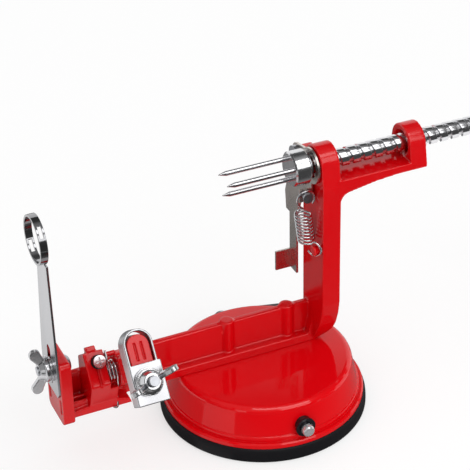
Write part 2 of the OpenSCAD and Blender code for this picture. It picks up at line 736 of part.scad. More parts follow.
module crank_nut() {
    stub = min(stub_r, screw_r - thread_depth - 0.2);
    x0 = crank_x + crank_t + seat_gap;
    color(steel) difference() {
        union() {
            translate([x0, 0, axis_z]) rotate([0, 90, 0]) cylinder(h = 5, r = stub * 2, $fn = 6);
            translate([x0 + 5, 0, axis_z]) rotate([0, 90, 0]) rotate_extrude()
                polygon(concat([[0, -0.5], [stub * 1.6, -0.5]], arc([0, 0], stub * 1.6, 0, 90, 6)));
        }
        along_x(x0 - 1, crank_x + crank_t + 7.1, 0, axis_z, stub + seat_gap);
    }
}

module crank_pin() {
    z = axis_z - crank_r;
    x1 = crank_x + crank_t + 1 + grip_len + 1;
    color(steel) {
        along_x(crank_x - 1.6, crank_x - seat_gap, 0, z, grip_pin_r + 1.6);
        along_x(crank_x - 1, x1, 0, z, grip_pin_r);
        along_x(x1 - eps, x1 + 1.8, 0, z, grip_pin_r + 2);
    }
}

module crank_grip() {
    z = axis_z - crank_r;
    neck = grip_r - 4;
    color(red) difference() {
        translate([crank_x + crank_t + 0.5, 0, z]) rotate([0, 90, 0]) rotate_extrude() polygon(concat(
            [[0, 0], [neck - 1, 0], [neck, 1]],
            [for (i = [1:8]) [neck + (grip_r - neck) * sin(180 * (i / 9) * 0.82), 1 + (grip_len - 6) * i / 9]],
            arc([grip_r - 7, grip_len - 5], 5, 20, 90, 4), [[0, grip_len]]));
        along_x(crank_x, crank_x + crank_t + grip_len + 5, 0, z, grip_pin_r + run_gap);
    }
}

// Release latch

// Plate round the screw with its pivot, tooth, leg and spring tab, in (y, z)
module latch_outline() {
    pivot = [latch_y, latch_z];
    lobe = latch_pin_r + 3.3;
    leg0 = leg_y - leg_w;
    step = axis_z - 42.5;
    difference() {
        union() {
            translate([0, axis_z - 0.8]) circle(latch_hole_r + 3.2);
            translate(pivot) circle(lobe);
            polygon([[tab_y - 0.2, axis_z - 8], [tab_y - 0.2, rivet_z - 4], [6, rivet_z - 6], [leg0 - 4, step + 12],
                [leg0, step + 2], [leg0, leg_z], [leg_y, leg_z], [leg_y, step], [wing_y - 1.2, step],
                [wing_y, step + 11], [latch_y + lobe, latch_z - 1], [latch_y + lobe - 3, latch_z + 4],
                [latch_y, latch_z + lobe], [0, axis_z + 8]]);
        }
        translate([-cos(latch_dir) * latch_lift / 2, axis_z - sin(latch_dir) * latch_lift / 2]) circle(latch_hole_r);
        translate(pivot) circle(latch_pin_r + run_gap);
    }
    translate([0, axis_z]) rotate(latch_dir) translate([tooth_tip, -tooth_w / 2])
        square([latch_hole_r - tooth_tip + 1, tooth_w]);
}

module latch_plate() {
    color(chrome) {
        slab_x(latch_x, latch_x + latch_t) latch_outline();
        translate([latch_x - tab_len, leg_y - latch_t, leg_z]) cube([tab_len + eps, latch_t, tab_h]);
        difference() {
            translate([rivet_x - 3.2, tab_y - 0.2, rivet_z - 4]) cube([latch_x - rivet_x + 3.2 + eps, 1.2, 7.4]);
            along_y(tab_y - 1, tab_y + 2, rivet_x, rivet_z, rivet_r + seat_gap);
        }
    }
}

module latch_rivet() {
    color(steel) {
        along_y(tab_y - 3.2, tab_y + 1.6, rivet_x, rivet_z, rivet_r);
        along_y(tab_y - 4.4, tab_y - 3.2 + eps, rivet_x, rivet_z, rivet_r + 0.9);
        along_y(tab_y + 1 + seat_gap, tab_y + 2, rivet_x, rivet_z, rivet_r + 0.9);
    }
}

module latch_screw() {
    color(steel) {
        along_x(latch_x - 2.6, latch_x - run_gap, latch_y, latch_z, latch_pin_r + 2.2);
        along_x(latch_x - 1, latch_x + latch_t + 0.04, latch_y, latch_z, latch_pin_r);
        along_x(latch_x, post_x + 7, latch_y, latch_z, latch_pin_r - 0.5);
    }
}

// Top ring round the rivet, coils, then a hook round the cast peg
function latch_spring_path() =
    let (
        top = [rivet_x, rivet_ring_y, rivet_z + rivet_r + wire_r + 0.1 - ring_r],
        ring = [for (i = [0:9]) let (a = -400 + 310 * i / 10) top + ring_r * [cos(a), 0, sin(a)]],
        z0 = top[2] - ring_r,
        steps = 8 * coil_count - 2,
        coils = [for (i = [0:steps]) let (a = 360 * i / 8, r = coil_r * min(1, (i + 0.4) / 4))
            [rivet_x - 2.1 + 2.4 * i / steps + r * cos(a), rivet_ring_y + r * sin(a),
            z0 - coil_pitch * i / 8 - min(1, i / 3) * 1.9]],
        end = coils[steps],
        hook_r = peg_r + wire_r + 1.1,
        hook_x = post_x - 1.6,
        hook_z = peg_z - peg_r - wire_r - 0.15 + hook_r,
        hook = [for (i = [0:8]) let (a = 110 + 220 * i / 8) [hook_x, peg_y + hook_r * cos(a), hook_z + hook_r * sin(a)]],
        hook_dir = unit(hook[1] - hook[0])
    ) concat(ring, coils, blend(end, [7, 0, 0], hook[0], 5 * hook_dir, 5), hook);

module latch_spring() {
    color(chrome) wire(latch_spring_path(), wire_r);
}

// Corer

module core_outline() {
    neck_z = axis_z - core_drop - core_ring_r + 1;
    difference() {
        polygon([[-core_w / 2 + 3.4, core_foot_z], [core_w / 2 - 2, core_foot_z], [core_w / 2, core_foot_z + 3],
            [core_w / 2, core_bolt_z + 6], [core_neck / 2 - 1.5, neck_z], [-core_neck / 2 - 1, neck_z],
            [-core_w / 2 + 1.4, core_bolt_z + 14], [-core_w / 2 + 1.4, core_foot_z + 3]]);
        stadium([0, core_bolt_z - core_travel - 0.4], [0, core_bolt_z + core_travel + 6], bolt_r + 0.2);
    }
}

module core_blade() {
    x1 = end_x - seat_gap * 3;
    ring_z = axis_z - core_drop;
    window = 45;
    color(chrome) {
        slab_x(x1 - sheet, x1) core_outline();
        difference() {
            along_x(x1 - core_band - 0.5, x1 - 0.5, 0, ring_z, core_ring_r);
            along_x(x1 - core_band - 1, x1 + 1, 0, ring_z, core_ring_r - sheet);
            translate([x1 - core_band / 2 - 0.5, 0, ring_z]) rotate([-window, 0, 0])
                cube([core_band * 0.5, 3 * core_ring_r, 6.5], center = true);
        }
    }
}

module core_bolt() {
    color(steel) {
        translate([end_x1 + seat_gap, 0, core_bolt_z]) rotate([0, 90, 0]) rotate_extrude()
            polygon(concat([[0, 0], [bolt_r + 2.6, 0]], arc([bolt_r - 0.4, 0], 3, 0, 90, 5), [[0, 3]]));
        along_x(end_x - sheet - 2.2 - nut_hub * core_wing_rise, end_x1 + 1, 0, core_bolt_z, bolt_r);
    }
}

module core_washer() {
    x1 = end_x - sheet - 0.12;
    color(chrome) difference() {
        along_x(x1 - 1.2, x1, 0, core_bolt_z, bolt_r + 4.6);
        along_x(x1 - 3, x1 + 1, 0, core_bolt_z, bolt_r + seat_gap);
    }
}

module core_wing_nut() {
    color(chrome) translate([end_x - sheet - 1.2 - 0.2, 0, core_bolt_z]) rotate([0, -90, 0])
        wing_nut(bolt_r, core_wing_rise);
}

// Peeling arm, drawn in its leaning frame

module holder_outline() {
    r = holder_w / 2;
    translate([holder_x, holder_top - r]) circle(r);
    translate([holder_x - r, -holder_foot]) square([holder_w, holder_top - r + holder_foot]);
}

module peel_arm() {
    r = holder_w / 2;
    back = -arm_reach + holder_t;
    color(dark_red) arm_frame() difference() {
        union() {
            along_x(arm_hub_x, arm_hub_x1, 0, 0, arm_hub_r);
            translate([0, 0, -6.5]) linear_extrude(13) polygon([[arm_hub_x + 0.8, 2], [arm_hub_x1 - 1, 2],
                [arm_hub_x1 - 1, -8], [holder_x + r - 0.3, back - 2], [holder_x - r + 0.3, back - 2],
                [holder_x - r + 0.3, back + 10], [arm_hub_x + 0.8, -12]]);
            slab_y(-arm_reach, back) holder_outline();
            along_x(ear_x + 0.5, arm_hub_x + 1, -torsion_r + torsion_wire + 1.75, 8.6, 1.4);
        }
        along_x(arm_hub_x - 3, arm_hub_x1 + 1, 0, 0, arm_pin_r + run_gap);
        along_y(-arm_reach - 1, back + 1, holder_x, -clamp_bolt, bolt_r + seat_gap);
        along_y(back, back + 5, holder_x, -clamp_bolt, bolt_r + 2 + body_gap);
        for (s = [-1, 1]) translate([holder_x + s * 1.7 - 0.5, -arm_reach - eps, clamp_top + 1.5]) cube([1, 0.7, 9]);
    }
}

// Arch over the holder's round top, with straight legs
module strip_outline() {
    out = arch_in + sheet;
    difference() {
        union() {
            translate([holder_x, arch_z]) circle(out);
            translate([holder_x - out, -clamp_foot]) square([out, arch_z + clamp_foot]);
            translate([holder_x, clamp_top]) square([out, arch_z - clamp_top]);
        }
        translate([holder_x, arch_z]) circle(arch_in);
        translate([holder_x - arch_in, -clamp_foot - 1]) square([2 * arch_in, arch_z + clamp_foot + 1]);
    }
}

module peel_blade() {
    out = arch_in + sheet;
    color(chrome) arm_frame() {
        slab_y(blade_y - sheet, blade_y - sheet + strip_d) strip_outline();
        slab_y(blade_y - sheet, blade_y) difference() {
            translate([holder_x - out, -clamp_foot]) square([clamp_w, clamp_foot + clamp_top]);
            stadium([holder_x, -clamp_bolt - peel_travel - 2], [holder_x, -clamp_bolt + peel_travel + 1], bolt_r + 0.2);
        }
    }
}

module peel_bolt() {
    back = -arm_reach + holder_t;
    color(steel) arm_frame() {
        along_y(blade_y - 13, back + 1, holder_x, -clamp_bolt, bolt_r);
        translate([holder_x, back + seat_gap, -clamp_bolt]) rotate([-90, 0, 0]) cylinder(h = 3, r = bolt_r + 2);
    }
}

module peel_washer() {
    y1 = blade_y - sheet - 0.12;
    color(chrome) arm_frame() difference() {
        along_y(y1 - 1.2, y1, holder_x, -clamp_bolt, bolt_r + 4.6);
        along_y(y1 - 3, y1 + 1, holder_x, -clamp_bolt, bolt_r + seat_gap);
    }
}

module peel_wing_nut() {
    color(chrome) arm_frame() translate([holder_x, blade_y - sheet - 1.4, -clamp_bolt]) rotate([90, 0, 0])
        rotate(nut_turn) wing_nut(bolt_r, wing_rise);
}

module peel_pin() {
    color(steel) {
        along_x(ear_x0 + 3, arm_hub_x1 + 3, arm_y, arm_z, arm_pin_r);
    }
}

module peel_clip() {
    color(steel) difference() {
        along_x(arm_hub_x1 + body_gap, arm_hub_x1 + body_gap + 1, arm_y, arm_z, arm_pin_r + 2);
        along_x(arm_hub_x1, arm_hub_x1 + 3, arm_y, arm_z, arm_pin_r + seat_gap);
    }
}

// Leg up from the apron, coils round the pin, leg along the ear's slope behind the arm's peg
function peel_spring_path() =
    let (
        x0 = ear_x + torsion_wire + 0.2,
        x1 = arm_hub_x - torsion_wire - 0.35,
        sweep = 720 + arm_lean,
        steps = 17,
        coils = [for (i = [0:steps]) let (a = 180 - sweep * i / steps)
            [x1 + (x0 - x1) * i / steps, arm_y + torsion_r * cos(a), arm_z + torsion_r * sin(a)]],
        up = [for (i = [0:1]) [x1, arm_y - torsion_r, arm_z - 5.4 + 2.7 * i]],
        tip = [0, sin(arm_lean), cos(arm_lean)]
    ) concat(up, coils, [for (i = [1:2]) coils[steps] + 5.5 * i * tip]);

module peel_spring() {
    color(chrome) wire(peel_spring_path(), torsion_wire);
}

module ear_screw() {
    color(chrome) arm_frame() translate([ear_x - 4.2, -ear_front - 2 - seat_gap, ear_up - 6]) rotate([90, 0, 0]) {
        difference() {
            cylinder(h = 2.6, r = 3.4);
            for (a = [0, 90]) rotate(a) translate([-2.2, -0.4, 1.6]) cube([4.4, 0.8, 2]);
        }
        translate([0, 0, -9]) cylinder(h = 10, r = 1.6);
    }
}

module ear_collar() {
    color(black) arm_frame() translate([ear_x - 4.2, -ear_front - seat_gap, ear_up - 6]) rotate([90, 0, 0])
        difference() {
            cylinder(h = 2 - seat_gap, r = 3.8);
            translate([0, 0, -1]) cylinder(h = 4, r = 1.6 + seat_gap);
        }
}

echo(latch_spring_gap = self_gap(latch_spring_path(), wire_r));
echo(peel_spring_gap = self_gap(peel_spring_path(), torsion_wire));

suction_pad();
base_dome();
pin_grommets();
cam_pin();
pin_cap();
suction_lever();
lever_sleeve();
pull_stud();
base_screws();
frame();
feed_screw();
fork_hub();
fork_prongs();
thrust_washer();
crank_arm();
crank_nut();
crank_pin();
crank_grip();
latch_plate();
latch_rivet();
latch_screw();
latch_spring();
core_blade();
core_bolt();
core_washer();
core_wing_nut();
peel_arm();
peel_blade();
peel_bolt();
peel_washer();
peel_wing_nut();
peel_pin();
peel_clip();
peel_spring();
ear_screw();
ear_collar();
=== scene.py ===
"""Looks of the apple peeler: finishes, smooth cast, moulded, threaded and wound pieces, stage, lamps and camera."""
import json
import math

import bpy
from mathutils import Matrix, Vector

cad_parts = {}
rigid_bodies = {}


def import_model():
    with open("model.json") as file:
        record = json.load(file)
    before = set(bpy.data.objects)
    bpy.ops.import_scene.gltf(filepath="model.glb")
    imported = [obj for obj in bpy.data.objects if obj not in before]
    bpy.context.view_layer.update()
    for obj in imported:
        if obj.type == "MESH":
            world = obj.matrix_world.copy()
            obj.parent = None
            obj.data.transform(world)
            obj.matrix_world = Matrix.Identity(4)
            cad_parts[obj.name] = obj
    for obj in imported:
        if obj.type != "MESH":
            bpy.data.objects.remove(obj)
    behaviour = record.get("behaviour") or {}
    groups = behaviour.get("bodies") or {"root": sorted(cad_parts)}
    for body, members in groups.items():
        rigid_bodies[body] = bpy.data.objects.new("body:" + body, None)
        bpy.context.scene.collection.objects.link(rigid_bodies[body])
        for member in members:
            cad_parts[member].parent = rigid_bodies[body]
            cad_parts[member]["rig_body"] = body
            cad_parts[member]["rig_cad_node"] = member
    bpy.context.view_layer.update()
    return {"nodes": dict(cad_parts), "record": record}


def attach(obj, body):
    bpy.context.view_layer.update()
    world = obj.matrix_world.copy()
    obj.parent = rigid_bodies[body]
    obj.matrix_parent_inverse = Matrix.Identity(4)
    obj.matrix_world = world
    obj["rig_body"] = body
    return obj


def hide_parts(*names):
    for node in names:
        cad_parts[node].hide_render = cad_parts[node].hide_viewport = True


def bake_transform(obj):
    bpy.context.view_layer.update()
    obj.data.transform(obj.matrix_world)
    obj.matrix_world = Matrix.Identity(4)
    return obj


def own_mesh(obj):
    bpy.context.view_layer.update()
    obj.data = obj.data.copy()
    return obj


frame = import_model()
NODES = frame["nodes"]
SLOT_OF = {row["node"]: row["material_slot"] for row in frame["record"]["subparts"]}
BODY_OF = {node: body for body, nodes in frame["record"]["behaviour"]["bodies"].items() for node in nodes}
MM = 0.001

bl_info = {
    "name": "Apple peeler looks",
    "version": (1, 0, 0),
    "blender": (4, 5, 0),
    "location": "View3D > Sidebar > Apple peeler",
    "description": "Finishes, small pieces, stage and camera for the apple peeler",
    "category": "Object",
}


# Settings

class PeelerColours(bpy.types.PropertyGroup):
    """Colours of the finishes."""
    red: bpy.props.FloatVectorProperty(
        name="Red paint", description="Colour of the castings and the dome", subtype="COLOR",
        size=3, min=0, max=1, default=(0.65, 0.0012, 0.004))
    # Painted highlight: a lighter red painted along the castings' sharp edges, standing in for the highlights that
    # catch them
    red_highlight: bpy.props.FloatVectorProperty(
        name="Red edges", description="Colour of the thin paint along the castings' edges", subtype="COLOR",
        size=3, min=0, max=1, default=(0.86, 0.05, 0.05))
    grip_red: bpy.props.FloatVectorProperty(
        name="Red grip", description="Colour of the crank's grip", subtype="COLOR",
        size=3, min=0, max=1, default=(0.55, 0.002, 0.006))
    chrome: bpy.props.FloatVectorProperty(
        name="Chrome", description="Colour of the plated pieces", subtype="COLOR",
        size=3, min=0, max=1, default=(0.80, 0.80, 0.82))
    blade: bpy.props.FloatVectorProperty(
        name="Blade steel", description="Colour of the blades", subtype="COLOR",
        size=3, min=0, max=1, default=(0.56, 0.56, 0.58))
    # Painted reflection and shade: the latch's colour is darker and warmer than bare steel, standing in for a warm
    # reflection on it
    latch: bpy.props.FloatVectorProperty(
        name="Latch steel", description="Colour of the latch", subtype="COLOR",
        size=3, min=0, max=1, default=(0.72, 0.66, 0.62))
    steel: bpy.props.FloatVectorProperty(
        name="Steel", description="Colour of bolts, pins and washers", subtype="COLOR",
        size=3, min=0, max=1, default=(0.50, 0.51, 0.54))
    rubber: bpy.props.FloatVectorProperty(
        name="Rubber", description="Colour of the pad and the grommets", subtype="COLOR",
        size=3, min=0, max=1, default=(0.0075, 0.0072, 0.0095))
    floor: bpy.props.FloatVectorProperty(
        name="Floor", description="Colour of the floor", subtype="COLOR",
        size=3, min=0, max=1, default=(0.85, 0.85, 0.85))


class PeelerSizes(bpy.types.PropertyGroup):
    """Radii of edges, and brightness of lamps, room and floor."""
    edge: bpy.props.FloatProperty(
        name="Cast edge", description="Radius of the frame casting's edges", unit="LENGTH",
        min=0.0002, max=0.003, default=0.0008)
    arm_edge: bpy.props.FloatProperty(
        name="Arm edge", description="Radius of the peeling arm's edges", unit="LENGTH",
        min=0.0002, max=0.003, default=0.00045)
    nut_edge: bpy.props.FloatProperty(
        name="Nut edge", description="Radius of the wing nuts' edges", unit="LENGTH",
        min=0.0001, max=0.001, default=0.0004)
    rim_edge: bpy.props.FloatProperty(
        name="Blade rim", description="Radius of the peeling blade's rim", unit="LENGTH",
        min=0.0001, max=0.001, default=0.0005)
    sheet_edge: bpy.props.FloatProperty(
        name="Sheet edge", description="Radius of the plated pieces' edges", unit="LENGTH",
        min=0.0001, max=0.001, default=0.0003)
    key: bpy.props.FloatProperty(
        name="Key light", description="Power of the soft box in front", unit="POWER",
        min=0, max=100, default=1.65)
    fill: bpy.props.FloatProperty(
        name="Side light", description="Power of the tall light at the left", unit="POWER",
        min=0, max=100, default=0.3)
    top: bpy.props.FloatProperty(
        name="Top strip", description="Power of the strip above that only makes highlights", unit="POWER",
        min=0, max=100, default=2.2)
    front_dim: bpy.props.FloatProperty(
        name="Front tone", description="Brightness of the floor's front in reflections",
        min=0, max=1, default=0.06)
    back_dim: bpy.props.FloatProperty(
        name="Back tone", description="Brightness of the floor behind the object in reflections",
        min=0, max=1, default=0.2)
    side_tone: bpy.props.FloatProperty(
        name="Side tone", description="Brightness of the floor left of the dome in reflections",
        min=0, max=1, default=0.6)
    sky: bpy.props.FloatProperty(
        name="Room light", description="Strength of the even light from all round",
        min=0, max=2, default=0.86)
    floor_glow: bpy.props.FloatProperty(
        name="Floor glow", description="Brightness added to the floor where it is seen",
        min=0, max=1, default=0.60)
    floor_shade: bpy.props.FloatProperty(
        name="Floor shade", description="Strength of light and shadow on the floor where it is seen",
        min=0, max=1, default=0.5)


# Finishes

# Depths of the marks in a surface, in metres
HAIRLINE, RIPPLE, ORANGE_PEEL = 0.10 * MM, 0.20 * MM, 0.25 * MM
# Marks drawn out along the screw (X) and along the blades (Z)
ROLL_STREAKS, ROLL_LINES = (0.3, 1, 1), (0.2, 1, 1)
BRUSH_STREAKS, BRUSH_LINES = (1, 1, 0.12), (1, 1, 0.05)
# Limits between which a finish changes: sharp edges, where a highlight is painted; hollows, where shade is painted;
# radii of the thread, whose root is painted in shade; foot of the coring ring, above which a dark reflection is
# painted
EDGE_HIGHLIGHT, SHADE_HOLLOW, SHADE_REACH = (0.52, 0.60), (0.2, 0.8), 3 * MM
FLANK = (3.95 * MM, 4.35 * MM)
RING_FOOT = (126.5 * MM, 128.5 * MM)
FINISHES = {}


class Wire:
    """A socket that takes part in Python expressions."""

    def __init__(self, nodes, socket):
        self.nodes, self.socket = nodes, socket

    def _math(self, operation, a, b):
        return self.nodes.node("ShaderNodeMath", {"operation": operation}, {0: a, 1: b})

    def __add__(self, other):
        return self._math("ADD", self, other)

    def __mul__(self, other):
        return self._math("MULTIPLY", self, other)

    def __sub__(self, other):
        return self._math("SUBTRACT", self, other)

    def __rsub__(self, other):
        return self._math("SUBTRACT", other, self)

    def __or__(self, other):
        return self._math("MAXIMUM", self, other)

    __radd__ = __add__
    __rmul__ = __mul__


class NodeTree:
    """A node tree that is built one node at a time."""

    def __init__(self, tree):
        self.tree = tree

    def plug(self, socket, value):
        """Links a socket to a wire, or sets its value."""
        if isinstance(value, Wire):
            self.tree.links.new(value.socket, socket)
        else:
            socket.default_value = value

    def node(self, kind, settings, inputs, output=0):
        """Adds one node: its settings first, then the values or links of its sockets."""
        made = self.tree.nodes.new(kind)
        for name, value in settings.items():
            if name == "stops":
                ramp = made.color_ramp
                while len(ramp.elements) < len(value):
                    ramp.elements.new(1.0)
                for element, (position, grey) in zip(ramp.elements, value):
                    element.position, element.color = position, (grey, grey, grey, 1)
            else:
                setattr(made, name, value)
        for name, value in inputs.items():
            self.plug(made.inputs[name], value)
        return Wire(self, made.outputs[output]) if len(made.outputs) else None

    def others(self, wire, *names):
        """Further outputs of the node that wire comes from."""
        return [Wire(self, wire.socket.node.outputs[name]) for name in names]

    def seen(self):
        """1 for the rays that show the background: camera, mirror and glass rays; then the mirror rays alone."""
        path = self.node("ShaderNodeLightPath", {}, {})
        camera, mirror, glass = self.others(path, "Is Camera Ray", "Is Glossy Ray", "Is Transmission Ray")
        return camera | mirror | glass, mirror

    def axes(self, kind):
        """X, Y and Z of a place or a direction."""
        place = self.node("ShaderNodeTexCoord", {}, {}, kind)
        x = self.node("ShaderNodeSeparateXYZ", {}, {0: place}, "X")
        return x, *self.others(x, "Y", "Z")

    def slope(self, value, limits, start=0.0, end=1.0):
        """Goes from start to end while value goes from the first limit to the second."""
        return self.node("ShaderNodeMapRange", {}, {"Value": value, "From Min": limits[0], "From Max": limits[1],
                                                    "To Min": start, "To Max": end})

    def mix(self, share, a, b):
        """Colour between a and b, each a colour or a socket."""
        a, b = (c if isinstance(c, Wire) else (*c, 1) for c in (a, b))
        return self.node("ShaderNodeMix", {"data_type": "RGBA"}, {0: share, 6: a, 7: b}, 2)


class Finish(NodeTree):
    """A material under construction round one Principled shader."""

    def __init__(self, name, colour, metallic=0.0, specular=0.5):
        self.material = bpy.data.materials.new(name)
        self.material.use_nodes = True
        super().__init__(self.material.node_tree)
        self.shader = self.tree.nodes["Principled BSDF"]
        self.feed("Base Color", (*colour, 1))
        self.feed("Metallic", metallic)
        self.feed("Specular IOR Level", specular)
        self.place = self.node("ShaderNodeTexCoord", {}, {}, "Object")

    def feed(self, socket, value):
        """Sets or links a socket of the shader."""
        self.plug(self.shader.inputs[socket], value)

    def noise(self, waves, detail=2.0, stretch=None):
        """Noise from 0 to 1 on the piece's own place, with so many waves per metre."""
        place = self.place
        if stretch:
            place = self.node("ShaderNodeVectorMath", {"operation": "MULTIPLY"}, {0: place, 1: stretch})
        return self.node("ShaderNodeTexNoise", {}, {"Vector": place, "Scale": waves, "Detail": detail}, "Fac")

    def gloss(self, low, span, **grain):
        """Patchy roughness from low to low + span."""
        self.feed("Roughness", low + span * self.noise(**grain))

    def relief(self, depth, strength, edge=0.0, **grain):
        """Fine marks over edges that look rounded."""
        inputs = {"Height": self.noise(**grain), "Distance": depth, "Strength": strength}
        if edge:
            inputs["Normal"] = self.node("ShaderNodeBevel", {"samples": 6}, {"Radius": edge})
        self.feed("Normal", self.node("ShaderNodeBump", {}, inputs))


def shade(colour, factor):
    """A lighter or darker colour."""
    return tuple(min(1.0, c * factor) for c in colour)


def finish_of(node):
    """The finish of a CAD node: its own, or else that of its slot."""
    return FINISHES.get(node) or FINISHES[SLOT_OF[node]]


def make_finishes():
    """One material for each of the record's slots, and one for each node that differs from its slot."""
    colours = bpy.context.scene.peeler_colours
    sizes = bpy.context.scene.peeler_sizes
    edge = sizes.sheet_edge

    paint = Finish("red_casting_paint", colours.red)
    # Painted highlight: the castings' sharp edges, found by pointiness, are painted a lighter red in patches, in
    # place of the highlights along them
    point = paint.node("ShaderNodeNewGeometry", {}, {}, "Pointiness")
    rim = paint.slope(point, EDGE_HIGHLIGHT, end=0.7)
    # Painted shade: where ambient occlusion finds a hollow, the paint is darkened towards a dark red
    depth = paint.node("ShaderNodeAmbientOcclusion", {"samples": 8, "only_local": True},
                       {"Distance": SHADE_REACH}, "AO")
    unshaded_share = paint.slope(depth, SHADE_HOLLOW)
    tone = paint.mix(paint.noise(waves=45), shade(colours.red, 0.92), shade(colours.red, 1.04))
    thin = paint.mix(rim * (0.5 + 0.5 * paint.noise(waves=220)), tone, colours.red_highlight)
    paint.feed("Base Color", paint.mix(unshaded_share, shade(colours.red, 0.42), thin))
    paint.gloss(low=0.08, span=0.12, waves=160)
    paint.relief(ORANGE_PEEL, strength=0.10, edge=edge, waves=420, detail=3)
    FINISHES["red_casting"] = paint.material

    dome = Finish("red_dome_paint", shade(colours.red, 1.1))
    dome.gloss(low=0.03, span=0.05, waves=60)
    dome.relief(RIPPLE, strength=0.02, edge=edge, waves=160)
    FINISHES["red_sheet"] = dome.material

    grip = Finish("red_grip_plastic", colours.grip_red, specular=0.4)
    grip.gloss(low=0.16, span=0.08, waves=120)
    FINISHES["red_plastic"] = grip.material

    chrome = Finish("chrome_plate", colours.chrome, metallic=1.0)
    chrome.feed("Base Color", chrome.mix(chrome.noise(waves=90), shade(colours.chrome, 0.86), colours.chrome))
    chrome.gloss(low=0.10, span=0.14, waves=150, detail=4)
    chrome.relief(RIPPLE, strength=0.03, edge=edge, waves=260)
    FINISHES["chrome"] = chrome.material

    nickel = Finish("nickel_casting", shade(colours.chrome, 0.80), metallic=1.0)
    nickel.gloss(low=0.16, span=0.16, waves=260, detail=4)
    nickel.relief(RIPPLE, strength=0.12, waves=500, detail=3)
    FINISHES["core_wing_nut"] = FINISHES["peel_wing_nut"] = nickel.material

    rolled = Finish("rolled_thread", colours.chrome, metallic=1.0)
    across = rolled.node("ShaderNodeVectorMath", {"operation": "MULTIPLY"}, {0: rolled.place, 1: (0, 1, 1)})
    radius = rolled.node("ShaderNodeVectorMath", {"operation": "DISTANCE"},
                         {0: across, 1: (0, 0, AXIS_Z * MM)}, "Value")
    crest = rolled.slope(radius, FLANK)
    # Painted shade: the thread's root is painted darker than its crest
    rolled.feed("Base Color", rolled.mix(crest, shade(colours.chrome, 0.8), colours.chrome))
    rolled.feed("Roughness", 0.20 - 0.08 * crest + 0.05 * rolled.noise(waves=120, detail=4, stretch=ROLL_STREAKS))
    rolled.relief(HAIRLINE, strength=0.05, waves=500, stretch=ROLL_LINES)
    FINISHES["feed_screw"] = rolled.material

    blade = Finish("blade_steel", colours.blade, metallic=1.0)
    blade.feed("Base Color", blade.mix(blade.noise(waves=60), shade(colours.blade, 0.88), colours.blade))
    blade.gloss(low=0.16, span=0.16, waves=90, detail=4, stretch=BRUSH_STREAKS)
    blade.relief(HAIRLINE, strength=0.05, edge=edge, waves=900, stretch=BRUSH_LINES)
    FINISHES["blade_steel"] = blade.material

    corer = Finish("corer_steel", colours.blade, metallic=1.0)
    # Painted reflection: above its foot the coring ring is painted darker, standing in for the dark surroundings it
    # mirrors; it is also made smoother
    ring = corer.slope(corer.axes("Object")[2], RING_FOOT)
    brushed = 0.16 + 0.16 * corer.noise(waves=90, detail=4, stretch=BRUSH_STREAKS)
    corer.feed("Base Color", corer.mix(ring, shade(colours.blade, 0.92), shade(colours.blade, 0.6)))
    corer.feed("Roughness", brushed * (1 - 0.6 * ring))
    corer.relief(HAIRLINE, strength=0.05, edge=edge, waves=900, stretch=BRUSH_LINES)
    FINISHES["core_blade"] = corer.material

    # Painted reflection and shade: the latch's darker, warm colour stands in for a warm reflection on it
    latch = Finish("latch_steel", colours.latch, metallic=1.0)
    latch.gloss(low=0.18, span=0.2, waves=120, detail=4)
    latch.relief(HAIRLINE, strength=0.06, edge=edge, waves=800)
    FINISHES["latch_plate"] = latch.material

    steel = Finish("satin_steel", colours.steel, metallic=1.0)
    steel.gloss(low=0.22, span=0.16, waves=500, detail=3)
    steel.relief(HAIRLINE, strength=0.05, edge=edge, waves=700)
    FINISHES["steel"] = steel.material

    rubber = Finish("black_rubber", colours.rubber, specular=0.22)
    rubber.gloss(low=0.42, span=0.2, waves=300, detail=3)
    rubber.relief(HAIRLINE, strength=0.12, edge=edge, waves=1400)
    FINISHES["rubber"] = rubber.material

    bush = Finish("polished_bush", colours.rubber)
    bush.gloss(low=0.14, span=0.12, waves=400, detail=3)
    bush.relief(HAIRLINE, strength=0.05, edge=edge, waves=900)
    FINISHES["pin_grommets"] = bush.material

    button = Finish("plated_button", shade(colours.chrome, 1.05), metallic=0.75)
    button.gloss(low=0.14, span=0.12, waves=500, detail=3)
    button.relief(HAIRLINE, strength=0.05, edge=edge, waves=600)
    FINISHES["pin_cap"] = button.material

    plastic = Finish("black_sleeve_plastic", shade(colours.rubber, 1.4), specular=0.35)
    plastic.gloss(low=0.30, span=0.12, waves=400)
    plastic.relief(HAIRLINE, strength=0.08, edge=sizes.edge, waves=900)
    FINISHES["black_plastic"] = plastic.material


# Shapes: sizes are those of the part's source, in millimetres and degrees

AXIS_Z = 143.5
# Thread of the feed screw: root and crest radius, pitch, width of the ridge, ends, and a crest on top of the screw
SCREW = {"core": 3.9, "outer": 5.0, "pitch": 6.6, "ridge": 4.4, "x0": 26.0, "x1": 190.45, "crest": 32.991}
# Easing of the crest and of the root, and the share of it at which its middle point lies
CREST_EASE, ROOT_EASE, EASE_BEND = 0.3, 0.25, 0.3
# Plain ends of the screw
SCREW_STUBS, STUB_R, STUB_EASE = ((19.0, 26.5), (189.95, 203.45)), 3.7, 0.3
# Steps in a turn, and the sharpest corner that is shaded smooth
SCREW_STEPS, SCREW_ANGLE = 40, 35

